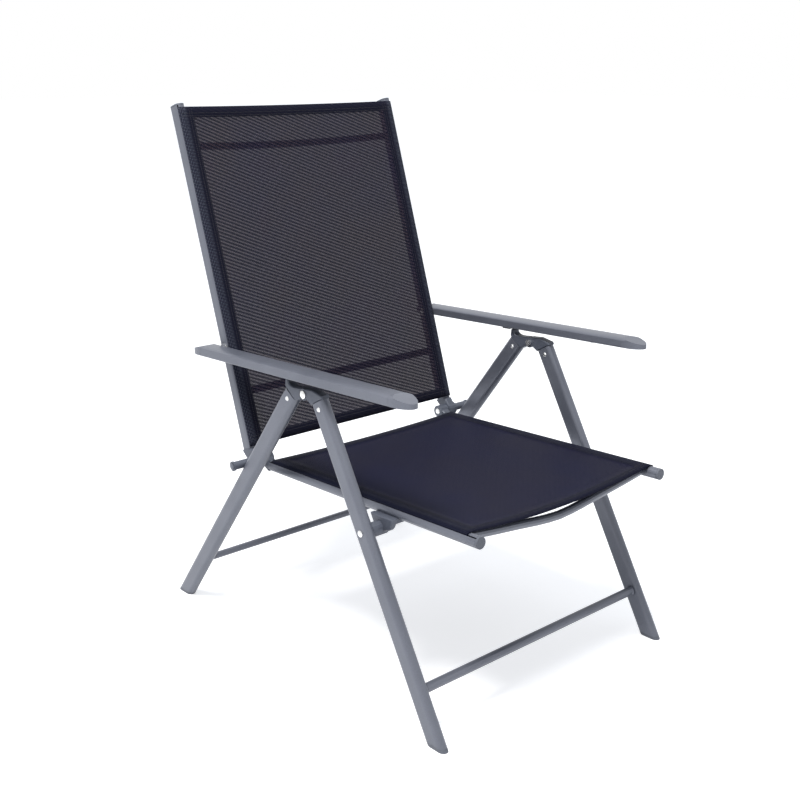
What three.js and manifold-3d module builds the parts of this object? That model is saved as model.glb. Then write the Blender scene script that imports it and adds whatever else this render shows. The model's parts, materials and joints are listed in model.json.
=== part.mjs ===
// A folding sling patio chair with a reclining high back.
// Lengths are millimetres and angles are degrees.
// X runs across the chair, +Y to its rear and +Z up.
// Two leg frames hang from a hinge under each armrest.
// The seat pivots on the front legs, and a glide sleeve at each rear corner runs behind a rear leg.
// The back turns on the same pin as the sleeve, and notched racks under the armrests sit on the leg horns.

import * as THREE from 'three';
import { mergeVertices } from 'three/addons/utils/BufferGeometryUtils.js';
import Module from 'manifold-3d';

const wasm = await Module();
wasm.setup();

// Clearances and the overrun of every cut
const fitGap = 0.3;
const cutOverrun = 5;

// Half the spacing of the legs, and how far inside or outside it the other side members lie
const legPlane = 310;
const backRailInset = 33;
const seatRailInset = 58;
const armrestOutset = 2;

// Leg frames
const legDepth = 40;
const legThickness = 20;
const legWall = 1.8;
const frontLegAngle = 29.7;
const rearLegAngle = 37.05;
const apexHeight = 573;
const frontApexOffset = 31;
const rearApexOffset = 28.9;
const frontTubeShortfall = 25;
const rearTubeShortfall = 31;
const footThickness = 6;
const footPlugLength = 22;
const frontCrossbarRadius = 9.2;
const rearCrossbarRadius = 7.5;
const frontCrossbarAlong = 103;
const rearCrossbarAlong = 132;
const collarRadius = 11;
const collarLength = 5;

// Castings in the leg tops, with the half-lapped eyes and the horn
const castingPlugLength = 40;
const castingRivetInset = 14;
const castingEdge = 2;
const apexEyeRadius = 11.5;
const elbowRise = 6;
const elbowShoulder = 25;
const elbowShoulderRise = 14;
const hornTipY = 52;
const hornTipRadius = 4.5;
const hornRackGap = 0.6;

// Fasteners
const pivotBoltRadius = 4;
const apexHeadRadius = 8;
const seatHeadRadius = 6.5;
const headHeight = 3.6;
const nutLength = 4.5;
const rivetRadius = 2.6;
const rivetHeadRadius = 4.8;
const rivetHeadHeight = 2.2;

// Seat frame
const seatRailRadius = 11.4;
const railWall = 1.8;
const seatPivotShare = 0.592;
const seatRailOverhang = 232;
const seatRailRear = 22;
const seatRailDrop = 12;
const seatTilt = 2.36;
const capThickness = 4;
const capSpigotLength = 14;
const bowRadius = 8.5;
const bowSetback = 40;
const bowDrop = 28.6;
const rearBarRadius = 8;
const rearBarSetback = 62;
const rearBarDrop = 4;
const bracketPlate = 13;
const bracketBossRadius = 14;
const bracketFront = 39;
const bracketRear = 24;
const saddleLip = 5;

// Hinge pins and glide sleeves at the rear corners of the seat
const hingeShare = 0.6038;
const sleeveRadius = 8.5;
const guideGap = 1.4;
const sleeveOverhang = 14.7;
const sleeveRimRadius = 10.2;
const sleeveRimLength = 3;
const pinRadius = 4.5;
const pinHeadRadius = 6.8;
const seatEyeRadius = 13.5;
const backEyeRadius = 14.5;
const eyeSpacing = 0.7;
const eyeReach = 2;

// Back frame
const backTilt = 18;
const backLength = 738;
const backRailOffset = 12;
const backRailDepth = 34;
const backRailThickness = 20;
const backRailStart = 28;
const backCapThickness = 3;
const backBarRadius = 8;
const lowerBarAlong = 143;
const lowerBarSetback = 4;
const upperBarSetback = 81;
const upperBarBow = 28;

// Slings, with the edge beads and the channels that hold them in the rails
const slingThickness = 1.4;
const beadRadius = 2.6;
const channelRadius = 3.1;
const channelWall = 1.3;
const channelLip = 1.5;
const channelMouth = 2.6;
const seatSlotAngle = 38;
const backSlotAngle = 48;
const seatSlingSetback = 20;
const seatSlingRear = 30;
const seatSagFront = 15;
const seatSagRear = 5;
const backSlingStart = 30;
const backSlingTopGap = 5;
const backSag = 8;

// Armrests and their racks
const armPivotRise = 23.2;
const armrestTilt = 2.5;
const armrestWidth = 44;
const armrestHeight = 20;
const armrestWall = 2.6;
const armrestCrown = 5;
const armrestCorner = 3;
const armrestNose = 127;
const armrestRear = 64;
const armCapLength = 46;
const armCapSlope = 11;
const armCapSpigot = 12;
const armBoltRadius = 3.5;
const armBoltHeadRadius = 9;
const armWasherRadius = 12;
const armNutRadius = 4.7;
const rackWidth = 13;
const rackFlangeWidth = 19;
const rackFlangeHeight = 2;
const rackDrop = 2.5;
const rackHeel = 33.6;
const rackToe = 82.2;
const rackNotches = 7;
const rackPitch = 23.7;
const notchDepth = 4.5;
const notchFlat = 10;
const notchSlope = 7;
const toothLength = 25;
const toothDrop = 3.5;
const endBumpLength = 9;
const endBumpDrop = 1.5;

// Facets
const tubeSides = 16;
const boltSides = 12;
const beadSides = 10;
const ovalEndSteps = 5;
const profileSteps = 4;
const bowSteps = 16;
const flatColumns = 6;
const wrapColumns = 3;
const sheetRows = 10;

// Bends of the seat's front bow: share of the half width against share of the drop
const bowShares = [[1, 0], [0.75, 0.3], [0.46, 0.6], [0.2, 0.88], [0, 1]];

// Finishes seen in the photograph
const paint = { color: 0x747d8c, roughness: 0.4, metalness: 0.5 };
const casting = { color: 0x656c78, roughness: 0.48, metalness: 0.45 };
const plug = { color: 0x6a717d, roughness: 0.55, metalness: 0.1 };
const zinc = { color: 0xd6d9dc, roughness: 0.28, metalness: 0.9 };
const blackPlastic = { color: 0x17181b, roughness: 0.55, metalness: 0 };
const mesh = { color: 0x22232c, roughness: 0.8, metalness: 0 };

const sides = [['left', -1], ['right', 1]];
const backRailPlane = legPlane - backRailInset;
const seatRailPlane = legPlane - seatRailInset;
const armrestPlane = legPlane + armrestOutset;
const legInner = legPlane - legThickness / 2;
const legOuter = legPlane + legThickness / 2;
const backRailInner = backRailPlane - backRailThickness / 2;
const backRailOuter = backRailPlane + backRailThickness / 2;
const seatEyeInner = seatRailPlane - seatRailRadius;
const seatEyeOuter = seatRailPlane + seatRailRadius + eyeSpacing;
const backEyeInner = seatEyeOuter + eyeSpacing;
const backEyeOuter = backRailOuter + eyeReach;
const sleeveInner = backEyeOuter + eyeSpacing;
const sleeveOuter = legOuter + sleeveOverhang;
const { lerp, degToRad } = THREE.MathUtils;
const pi = Math.PI;
const sine = (degrees) => Math.sin(degToRad(degrees));
const cosine = (degrees) => Math.cos(degToRad(degrees));

// A closed geometry as a solid that can be joined and cut
function solid(geometry) {
  const bare = geometry.clone();
  bare.deleteAttribute('normal');
  bare.deleteAttribute('uv');
  const merged = mergeVertices(bare, fitGap / 1000);
  const corners = merged.index.array;
  const kept = [];
  for (let i = 0; i < corners.length; i += 3) {
    const [a, b, c] = corners.slice(i, i + 3);
    if (a !== b && b !== c && c !== a) kept.push(a, b, c);
  }
  return new wasm.Manifold(new wasm.Mesh({
    numProp: 3,
    vertProperties: merged.attributes.position.array,
    triVerts: new Uint32Array(kept),
  }));
}

// The geometry of a joined or cut solid
function geometryOf(body) {
  const { vertProperties, triVerts } = body.getMesh();
  const geometry = new THREE.BufferGeometry();
  geometry.setAttribute('position', new THREE.BufferAttribute(vertProperties, 3));
  geometry.setIndex(new THREE.BufferAttribute(triVerts, 1));
  geometry.computeVertexNormals();
  return geometry;
}

function join(first, ...others) {
  return geometryOf(others.reduce((sum, other) => sum.add(solid(other)), solid(first)));
}

function cut(first, ...tools) {
  return geometryOf(tools.reduce((rest, tool) => rest.subtract(solid(tool)), solid(first)));
}

function common(first, ...others) {
  return geometryOf(others.reduce((rest, other) => rest.intersect(solid(other)), solid(first)));
}

function place(frame, name, geometry, finish) {
  const piece = new THREE.Mesh(geometry, new THREE.MeshStandardMaterial(finish));
  piece.name = name;
  frame.add(piece);
}

// Outlines
function circleOutline(radius) {
  const outline = new THREE.Shape();
  outline.absarc(0, 0, radius, 0, 2 * pi, false);
  return outline;
}

function polygonOutline(points) {
  return new THREE.Shape(points.map(([a, b]) => new THREE.Vector2(a, b)));
}

// The legs' flat oval section, long way along Y, grown inward by an inset
function legSection(inset) {
  const radius = legThickness / 2 - inset;
  const straight = (legDepth - legThickness) / 2;
  const outline = new THREE.Shape();
  outline.absarc(0, straight, radius, 0, pi, false);
  outline.absarc(0, -straight, radius, pi, 2 * pi, false);
  outline.closePath();
  return outline;
}

function extruded(outline, depth, options) {
  return new THREE.ExtrudeGeometry(outline, {
    depth,
    bevelEnabled: false,
    curveSegments: ovalEndSteps,
    ...options,
  });
}

// An outline drawn in X and Y, rising along Z from low to high
function upright(outline, low, high, options) {
  return extruded(outline, high - low, options).translate(0, 0, low);
}

// An outline drawn in Y and Z, spanning X between two planes
function sidePlate(outline, planeA, planeB, options) {
  const turn = new THREE.Matrix4().makeBasis(
    new THREE.Vector3(0, 1, 0),
    new THREE.Vector3(0, 0, 1),
    new THREE.Vector3(1, 0, 0),
  );
  const low = Math.min(planeA, planeB);
  return extruded(outline, Math.abs(planeB - planeA), options).applyMatrix4(turn).translate(low, 0, 0);
}

// A side plate with chamfered edges
function castPlate(outline, planeA, planeB) {
  const low = Math.min(planeA, planeB) + castingEdge;
  const high = Math.max(planeA, planeB) - castingEdge;
  return sidePlate(outline, low, high, {
    bevelEnabled: true,
    bevelThickness: castingEdge,
    bevelSize: castingEdge,
    bevelOffset: -castingEdge,
    bevelSegments: 1,
  });
}

// An outline drawn in X and Z, spanning Y from front to rear
function crossPrism(outline, front, rear, options) {
  const turn = new THREE.Matrix4().makeBasis(
    new THREE.Vector3(1, 0, 0),
    new THREE.Vector3(0, 0, 1),
    new THREE.Vector3(0, -1, 0),
  );
  return extruded(outline, rear - front, options).applyMatrix4(turn).translate(0, rear, 0);
}

function rodX(radius, planeA, planeB, sideCount = boltSides) {
  const rod = new THREE.CylinderGeometry(radius, radius, Math.abs(planeB - planeA), sideCount);
  return rod.rotateZ(pi / 2).translate((planeA + planeB) / 2, 0, 0);
}

function rodY(radius, front, rear, sideCount = tubeSides) {
  const rod = new THREE.CylinderGeometry(radius, radius, rear - front, sideCount);
  return rod.translate(0, (front + rear) / 2, 0);
}

// A turned piece about X on one side of the chair, from its distances and radii going outward
function turnedX(profile, side, sideCount = boltSides) {
  const points = profile.map(([distance, radius]) => new THREE.Vector2(radius, distance));
  const turned = new THREE.LatheGeometry(points, sideCount).rotateZ(-pi / 2);
  return side > 0 ? turned : turned.rotateY(pi);
}

// A bolt across one side: nut inside, shank, and domed head outside
function crossBolt(side, nutFace, headFace, headRadius, shankRadius) {
  const nutRadius = headRadius * 0.85;
  return turnedX([
    [nutFace - nutLength, 0],
    [nutFace - nutLength, nutRadius],
    [nutFace, nutRadius],
    [nutFace, shankRadius],
    [headFace, shankRadius],
    [headFace, headRadius],
    [headFace + headHeight * 0.4, headRadius],
    [headFace + headHeight * 0.85, headRadius * 0.62],
    [headFace + headHeight, 0],
  ], side);
}

// The frames of the leaning members
const chair = new THREE.Group();

function frameAt(point, turn) {
  const frame = new THREE.Group();
  frame.position.copy(point);
  frame.rotation.x = degToRad(turn);
  chair.add(frame);
  frame.updateMatrixWorld(true);
  return frame;
}

const frontApexAlong = (apexHeight + frontApexOffset * sine(frontLegAngle)) / cosine(frontLegAngle);
const rearApexAlong = (apexHeight + rearApexOffset * sine(rearLegAngle)) / cosine(rearLegAngle);
const frontFootY = -frontApexAlong * sine(frontLegAngle) - frontApexOffset * cosine(frontLegAngle);
const rearFootY = rearApexAlong * sine(rearLegAngle) + rearApexOffset * cosine(rearLegAngle);
const apex = new THREE.Vector3(0, 0, apexHeight);
const frontLegs = frameAt(new THREE.Vector3(0, frontFootY, 0), -frontLegAngle);
const rearLegs = frameAt(new THREE.Vector3(0, rearFootY, 0), rearLegAngle);
const pointOf = (frame, y, z) => frame.localToWorld(new THREE.Vector3(0, y, z));
const seatPivotAlong = seatPivotShare * frontApexAlong;
const hinge = pointOf(rearLegs, legDepth / 2 + sleeveRadius + guideGap, hingeShare * rearApexAlong);
const seatPivot = pointOf(frontLegs, 0, seatPivotAlong);
const seatFrame = frameAt(hinge, -seatTilt);
const backFrame = frameAt(hinge, -backTilt);
const armPivotOver = apexHeight + armPivotRise - hinge.z;
const armPivotAlong = armPivotOver / cosine(backTilt) + backRailOffset * Math.tan(degToRad(backTilt));
const armPivot = pointOf(backFrame, backRailOffset, armPivotAlong);
const armFrame = frameAt(armPivot, -armrestTilt);
const seatRailFront = seatRailOverhang - seatFrame.worldToLocal(seatPivot.clone()).y;
const frontTubeTop = frontApexAlong - frontTubeShortfall;
const rearTubeTop = rearApexAlong - rearTubeShortfall;

// Everything above a level plane, drawn in a leaning frame that starts on the floor
function aboveFloor(frame, height) {
  const reach = 4 * apexHeight;
  const block = new THREE.BoxGeometry(reach, reach, reach);
  return block.translate(0, 0, height + reach / 2).rotateX(-frame.rotation.x);
}

// A geometry drawn level about a point of the chair, carried into a leaning frame
function carried(geometry, frame, point) {
  const local = frame.worldToLocal(point.clone());
  return geometry.rotateX(-frame.rotation.x).translate(0, local.y, local.z);
}

// A point of a leaning frame as seen level from the apex
function fromApex(frame, y, z) {
  const point = pointOf(frame, y, z).sub(apex);
  return [point.y, point.z];
}

// A drill through both walls of a leg
function legDrill(side, radius, along) {
  const drill = rodX(radius + fitGap, side * legPlane - legThickness, side * legPlane + legThickness);
  return drill.translate(0, 0, along);
}

// A flat oval leg tube cut level above the foot, with holes for its rivet and bolt
function leg(side, frame, top, holes) {
  const section = legSection(0);
  section.holes.push(legSection(legWall));
  const tube = upright(section, -legDepth, top).translate(side * legPlane, 0, 0);
  const trimmed = common(tube, aboveFloor(frame, footThickness + fitGap));
  return cut(trimmed, ...holes.map(([along, radius]) => legDrill(side, radius, along)));
}

// A foot: a pad with the tube's outline and a plug that stands in the tube
function foot(side, frame) {
  const pad = cut(
    common(upright(legSection(0), -legDepth, legDepth), aboveFloor(frame, 0)),
    aboveFloor(frame, footThickness),
  );
  const core = common(
    upright(legSection(legWall + fitGap), -legDepth, legDepth / 2 + footPlugLength),
    aboveFloor(frame, footThickness / 2),
  );
  return join(pad, core).translate(side * legPlane, 0, 0);
}

// A round tube between two legs, with a weld collar at each end
function crossbar(radius) {
  const end = legInner - fitGap;
  const bore = radius - legWall;
  return turnedX([
    [-end, bore],
    [-end, collarRadius],
    [-end + collarLength / 2, collarRadius],
    [-end + collarLength, radius],
    [end - collarLength, radius],
    [end - collarLength / 2, collarRadius],
    [end, collarRadius],
    [end, bore],
    [-end, bore],
  ], 1, tubeSides);
}

// The plug of a casting inside its leg tube
function castingPlug(side, top) {
  const body = upright(legSection(legWall + fitGap), top - castingPlugLength, top + castingEdge * 2);
  return body.translate(side * legPlane, 0, 0);
}

// A casting with its eye in one half of the leg's thickness and room for the other casting's eye
function apexCasting(side, frame, top, outline, ownHalf, otherHalf) {
  const web = castPlate(outline, side * (legInner + fitGap), side * (legOuter - fitGap));
  const room = rodX(apexEyeRadius + 3 * fitGap, side * otherHalf[0], side * otherHalf[1], tubeSides);
  const eye = rodX(apexEyeRadius, side * ownHalf[0], side * ownHalf[1], tubeSides);
  const head = cut(join(cut(web, room), eye), legDrill(side, pivotBoltRadius, 0));
  const body = join(carried(head, frame, apex), castingPlug(side, top));
  return cut(body, legDrill(side, rivetRadius, top - castingRivetInset));
}

const innerHalf = [legInner + fitGap, legPlane - fitGap / 2];
const outerHalf = [legPlane + fitGap / 2, legOuter - fitGap];
const innerRoom = [legInner - cutOverrun, legPlane + fitGap / 2];
const outerRoom = [legPlane - fitGap / 2, legOuter + cutOverrun];

// The height of the rack's underside over a point of the floor
function rackUnderside(y) {
  const drop = (armrestHeight / 2 + rackDrop) / cosine(armrestTilt);
  return armPivot.z + (armPivot.y - y) * Math.tan(degToRad(armrestTilt)) - drop;
}

// The middle of the horn's round tip, and the rack's places along the armrest that follow from it
const hornTipDrop = (hornRackGap + hornTipRadius) / cosine(armrestTilt);
const hornTip = new THREE.Vector3(0, hornTipY, rackUnderside(hornTipY) - hornTipDrop);
const firstNotch = -armFrame.worldToLocal(hornTip.clone()).y;
const rackRear = firstNotch - rackHeel;
const rackFront = firstNotch + (rackNotches - 1) * rackPitch + rackToe;
const armrestFront = rackFront + armrestNose;

// The rear leg's casting: plug, inside eye, and the horn that stands under the rack
function rearCasting(side) {
  const top = rearTubeTop + fitGap;
  const tipZ = hornTip.z - apexHeight;
  const outline = new THREE.Shape();
  outline.moveTo(...fromApex(rearLegs, -legDepth / 2, top));
  outline.lineTo(...fromApex(rearLegs, legDepth / 2, top));
  outline.lineTo(hornTipY + hornTipRadius, tipZ);
  outline.absarc(hornTipY, tipZ, hornTipRadius, 0, pi, false);
  outline.quadraticCurveTo(
    hornTipY - hornTipRadius * 1.4,
    apexEyeRadius * 0.6,
    apexEyeRadius * 2.2,
    apexEyeRadius * 0.75,
  );
  outline.lineTo(0, apexEyeRadius);
  outline.lineTo(0, 0);
  outline.lineTo(apexEyeRadius * 0.7, -apexEyeRadius * 0.7);
  outline.closePath();
  return apexCasting(side, rearLegs, top, outline, innerHalf, outerRoom);
}

// The front leg's casting: plug and an elbow that reaches back to the outside eye
function frontCasting(side) {
  const top = frontTubeTop + fitGap;
  const outline = polygonOutline([
    fromApex(frontLegs, legDepth / 2, top),
    [-apexEyeRadius * 0.7, -apexEyeRadius * 0.7],
    [0, 0],
    [0, apexEyeRadius],
    [-elbowShoulder, elbowShoulderRise],
    fromApex(frontLegs, -legDepth / 2, top + elbowRise),
    fromApex(frontLegs, -legDepth / 2, top),
  ]);
  return apexCasting(side, frontLegs, top, outline, outerHalf, innerRoom);
}

// A rivet with two low domes through a leg and the casting plugged into it
function castingRivet(side) {
  const inner = legInner - fitGap;
  const outer = legOuter + fitGap;
  return turnedX([
    [inner - rivetHeadHeight, 0],
    [inner - rivetHeadHeight * 0.6, rivetHeadRadius * 0.75],
    [inner, rivetHeadRadius],
    [inner, rivetRadius],
    [outer, rivetRadius],
    [outer, rivetHeadRadius],
    [outer + rivetHeadHeight * 0.6, rivetHeadRadius * 0.75],
    [outer + rivetHeadHeight, 0],
  ], side);
}

// Rails and slings share one drawing: X across, Y along the rail, and Z out of the sling
const seatRail = {
  plane: seatRailPlane,
  radius: seatRailRadius,
  slot: seatSlotAngle,
  depth: 2 * seatRailRadius,
};
const backRail = {
  plane: backRailPlane,
  radius: backRailThickness / 2,
  slot: backSlotAngle,
  depth: backRailDepth,
};

// A rail's outline about the middle of its round end, grown inward by an inset
function railSection(rail, inset) {
  const radius = rail.radius - inset;
  const far = rail.depth - 2 * rail.radius;
  const outline = new THREE.Shape();
  outline.absarc(0, 0, radius, 0, pi, false);
  outline.absarc(0, -far, radius, pi, 2 * pi, false);
  outline.closePath();
  return outline;
}

// A rod in the middle of a rail's sling channel
function channelRod(rail, side, radius, front, rear) {
  const rise = rail.radius - channelRadius - channelLip;
  const rod = rodY(radius, front, rear, beadSides).translate(0, 0, rise);
  return rod.rotateY(side * degToRad(rail.slot)).translate(side * rail.plane, 0, 0);
}

// A plate that stands out of the channel through its mouth
function channelBlade(rail, side, width, high, front, rear) {
  const low = rail.radius - channelRadius - channelLip;
  const blade = new THREE.BoxGeometry(width, rear - front, high - low);
  blade.translate(0, (front + rear) / 2, (high + low) / 2);
  return blade.rotateY(side * degToRad(rail.slot)).translate(side * rail.plane, 0, 0);
}

// A hollow rail with a keyhole channel for the sling's edge bead
function slottedRail(rail, side, front, rear) {
  const section = railSection(rail, 0);
  section.holes.push(railSection(rail, railWall));
  const tube = crossPrism(section, front, rear).translate(side * rail.plane, 0, 0);
  const boss = channelRod(rail, side, channelRadius + channelWall, front, rear);
  const low = front - cutOverrun;
  const high = rear + cutOverrun;
  return cut(
    join(tube, boss),
    channelRod(rail, side, channelRadius, low, high),
    channelBlade(rail, side, channelMouth, rail.radius + cutOverrun, low, high),
  );
}

// A plug for a slotted rail's bore, relieved around the channel
function railPlug(rail, side, front, rear) {
  const body = crossPrism(railSection(rail, railWall + fitGap), front, rear);
  const reliefRadius = channelRadius + channelWall + fitGap;
  const relief = channelRod(rail, side, reliefRadius, front - cutOverrun, rear + cutOverrun);
  return cut(body.translate(side * rail.plane, 0, 0), relief);
}

// A cap on a rail's end: a disc with the rail's outline and a spigot in its bore
function railCap(rail, side, end, outward, thickness) {
  const face = end + outward * fitGap;
  const outer = face + outward * thickness;
  const root = face + outward * thickness / 2;
  const tip = end - outward * capSpigotLength;
  const disc = crossPrism(railSection(rail, 0), Math.min(face, outer), Math.max(face, outer));
  const spigot = railPlug(rail, side, Math.min(root, tip), Math.max(root, tip));
  return join(disc.translate(side * rail.plane, 0, 0), spigot);
}

// A stretched sheet that wraps both rails and ends in a bead in each channel
function sling(rail, front, rear, sagAt) {
  const columns = 2 * (flatColumns + wrapColumns);
  const sheet = new THREE.BoxGeometry(1, 1, 1, columns, sheetRows, 1);
  const position = sheet.attributes.position;
  const middle = rail.radius + fitGap + slingThickness / 2;
  const wrapEnd = degToRad(rail.slot) + slingThickness / 2 / middle;
  for (let i = 0; i < position.count; i += 1) {
    const across = position.getX(i) * columns;
    const step = Math.abs(across);
    const share = position.getY(i) + 0.5;
    const sag = sagAt(share);
    const lean = Math.atan(2 * sag / rail.plane);
    const span = rail.plane - middle * Math.sin(lean);
    let x = span * step / flatColumns;
    let z = middle * Math.cos(lean) - sag * (1 - (x / span) ** 2);
    let angle = -Math.atan(2 * sag * x / span ** 2);
    if (step > flatColumns) {
      angle = lerp(-lean, wrapEnd, (step - flatColumns) / wrapColumns);
      x = rail.plane + middle * Math.sin(angle);
      z = middle * Math.cos(angle);
    }
    const lift = position.getZ(i) * slingThickness;
    position.setXYZ(
      i,
      Math.sign(across) * (x + lift * Math.sin(angle)),
      lerp(front, rear, share),
      z + lift * Math.cos(angle),
    );
  }
  const edges = sides.flatMap(([, side]) => [
    channelBlade(rail, side, slingThickness, middle, front, rear),
    channelRod(rail, side, beadRadius, front, rear),
  ]);
  return join(sheet, ...edges);
}

// A seat cross member trimmed to the round rails it meets
function trimmedToSeatRails(body) {
  const reach = seatRailFront + cutOverrun;
  const tools = sides.map(([, side]) => (
    rodY(seatRailRadius + fitGap, -reach, reach).translate(side * seatRailPlane, 0, 0)
  ));
  return cut(body, ...tools);
}

// A tube's hollow round section
function tubeSection(radius) {
  const section = circleOutline(radius);
  section.holes.push(circleOutline(radius - railWall));
  return section;
}

// A hollow tube along a curve
function tubeAlong(path, radius) {
  return new THREE.ExtrudeGeometry(tubeSection(radius), {
    steps: bowSteps,
    curveSegments: boltSides / 2,
    extrudePath: path,
  });
}

// The bow under the front edge of the seat
function frontBow() {
  const rightHalf = bowShares.map(([across, drop]) => (
    new THREE.Vector3(across * seatRailPlane, 0, -drop * bowDrop)
  ));
  const leftHalf = rightHalf.slice(0, -1).map((point) => new THREE.Vector3(-point.x, 0, point.z));
  const path = new THREE.CatmullRomCurve3([...leftHalf, ...rightHalf.reverse()]);
  return trimmedToSeatRails(tubeAlong(path, bowRadius).translate(0, bowSetback - seatRailFront, 0));
}

// A straight hollow tube across the chair
function straightTube(radius, end) {
  const bore = radius - railWall;
  return turnedX([[-end, bore], [-end, radius], [end, radius], [end, bore], [-end, bore]], 1, tubeSides);
}

function seatRearBar() {
  const tube = straightTube(rearBarRadius, seatRailPlane);
  return trimmedToSeatRails(tube.translate(0, -rearBarSetback, -rearBarDrop));
}

// The casting under a seat rail that carries the bolt through the front leg
function seatPivotBracket(side) {
  const pivot = seatFrame.worldToLocal(seatPivot.clone());
  const railBottom = -seatRailDrop - seatRailRadius - pivot.z;
  const inner = seatRailPlane + seatRailRadius + fitGap;
  const outline = new THREE.Shape();
  outline.moveTo(bracketRear, railBottom + saddleLip);
  outline.lineTo(-bracketFront, railBottom + saddleLip);
  outline.quadraticCurveTo(
    -bracketFront * 0.85,
    bracketBossRadius * 0.1,
    -bracketFront * 0.6,
    -bracketBossRadius * 0.1,
  );
  outline.quadraticCurveTo(
    -bracketFront * 0.4,
    -bracketBossRadius * 0.1,
    -bracketFront * 0.3,
    -bracketBossRadius * 0.6,
  );
  outline.lineTo(0, -bracketBossRadius * 0.95);
  outline.lineTo(bracketBossRadius * 0.9, 0);
  outline.closePath();
  const plate = castPlate(outline, side * inner, side * (inner + bracketPlate));
  const boss = rodX(bracketBossRadius, side * inner, side * (legInner - fitGap), tubeSides);
  const saddleWidth = 2 * seatRailRadius;
  const saddle = new THREE.BoxGeometry(saddleWidth, bracketFront + bracketRear - saddleLip, 2 * saddleLip);
  saddle.translate(side * (inner - saddleWidth / 2 + saddleLip), -(bracketFront - bracketRear) / 2, railBottom);
  const rail = rodY(seatRailRadius + fitGap, -2 * bracketFront, 2 * bracketFront);
  rail.translate(side * seatRailPlane, 0, railBottom + seatRailRadius);
  const hole = rodX(pivotBoltRadius + fitGap, side * seatRailPlane, side * legOuter);
  return cut(join(plate, boss, saddle), rail, hole).translate(0, pivot.y, pivot.z);
}

// The casting at the rear of a seat rail: plug, collar, neck and hinge eye
function seatHingeCasting(side) {
  const end = -seatRailRear + fitGap;
  const collarEnd = end + seatRailRadius / 2;
  const railZ = -seatRailDrop;
  const plugBody = railPlug(seatRail, side, end - 2 * seatRailRadius, collarEnd).translate(0, 0, railZ);
  const collar = rodY(seatRailRadius, end, collarEnd).translate(side * seatRailPlane, 0, railZ);
  const neck = castPlate(
    polygonOutline([
      [collarEnd - castingEdge * 2, railZ - seatRailRadius],
      [0, -seatEyeRadius],
      [0, seatEyeRadius],
      [collarEnd - castingEdge * 2, railZ + seatRailRadius],
    ]),
    side * (seatEyeInner + castingEdge),
    side * (seatEyeOuter - castingEdge),
  );
  const eye = rodX(seatEyeRadius, side * seatEyeInner, side * seatEyeOuter, tubeSides);
  const hole = rodX(pinRadius + fitGap, side * (seatEyeInner - cutOverrun), side * (seatEyeOuter + cutOverrun));
  return cut(join(plugBody, collar, neck, eye), hole);
}

// The middle of the back rails' round front end, in the back frame
const backRailFace = backRailOffset - backRailDepth / 2 + backRailThickness / 2;

// A geometry of the rail drawing, stood up into the back frame
function ontoBack(geometry) {
  return geometry.rotateX(pi / 2).translate(0, backRailFace, 0);
}

// The casting at the foot of a back rail: hinge eye, neck, collar and plug
function backHingeCasting(side) {
  const start = backRailStart - fitGap;
  const collarStart = start - backRailThickness / 3;
  const plugBody = ontoBack(railPlug(backRail, side, collarStart, start + backRailDepth));
  const collarDrawn = crossPrism(railSection(backRail, 0), collarStart, start);
  const collar = ontoBack(collarDrawn.translate(side * backRailPlane, 0, 0));
  const half = backRailDepth / 2;
  const neck = castPlate(
    polygonOutline([
      [-backEyeRadius, 0],
      [backEyeRadius, 0],
      [backRailOffset + half, collarStart + castingEdge * 2],
      [backRailOffset - half, collarStart + castingEdge * 2],
    ]),
    side * (backRailInner + fitGap),
    side * (backRailOuter - fitGap),
  );
  const eye = rodX(backEyeRadius, side * backEyeInner, side * backEyeOuter, tubeSides);
  const hole = rodX(pinRadius + fitGap, side * (backEyeInner - cutOverrun), side * (backEyeOuter + cutOverrun));
  return cut(join(plugBody, collar, neck, eye), hole);
}

// The hinge pin: domed head inside, shank, and domed knob over the sleeve
function hingePin(side) {
  const inner = seatEyeInner - fitGap;
  const outer = sleeveOuter + fitGap;
  return turnedX([
    [inner - headHeight, 0],
    [inner - headHeight * 0.8, pinHeadRadius * 0.65],
    [inner - headHeight * 0.3, pinHeadRadius],
    [inner, pinHeadRadius],
    [inner, pinRadius],
    [outer, pinRadius],
    [outer, pinHeadRadius],
    [outer + headHeight * 0.5, pinHeadRadius],
    [outer + headHeight * 0.9, pinHeadRadius * 0.6],
    [outer + headHeight, 0],
  ], side);
}

// The sleeve that glides down the back of the rear leg when the chair folds
function glideSleeve(side) {
  const bore = pinRadius + fitGap;
  return turnedX([
    [sleeveInner, bore],
    [sleeveInner, sleeveRadius],
    [sleeveOuter - sleeveRimLength, sleeveRadius],
    [sleeveOuter - sleeveRimLength, sleeveRimRadius],
    [sleeveOuter, sleeveRimRadius],
    [sleeveOuter, bore],
    [sleeveInner, bore],
  ], side, tubeSides);
}

// A back rail, drilled for the armrest bolt
function backRailTube(side) {
  const rail = ontoBack(slottedRail(backRail, side, backRailStart, backLength));
  const drill = rodX(armBoltRadius + fitGap, side * (backRailInner - cutOverrun), side * armrestPlane);
  return cut(rail, drill.translate(0, backRailOffset, armPivotAlong));
}

// The bowed tube behind the top of the back
function backTopBar() {
  const end = backRailInner + cutOverrun;
  const path = new THREE.QuadraticBezierCurve3(
    new THREE.Vector3(-end, 0, 0),
    new THREE.Vector3(0, 2 * upperBarBow, 0),
    new THREE.Vector3(end, 0, 0),
  );
  const reach = 2 * (backRailInner - fitGap);
  const trimmed = common(tubeAlong(path, backBarRadius), new THREE.BoxGeometry(reach, reach, reach));
  return trimmed.translate(0, backRailOffset, backLength - upperBarSetback);
}

function backLowerBar() {
  const tube = straightTube(backBarRadius, backRailInner - fitGap);
  return tube.translate(0, backRailOffset + lowerBarSetback, lowerBarAlong);
}

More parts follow.
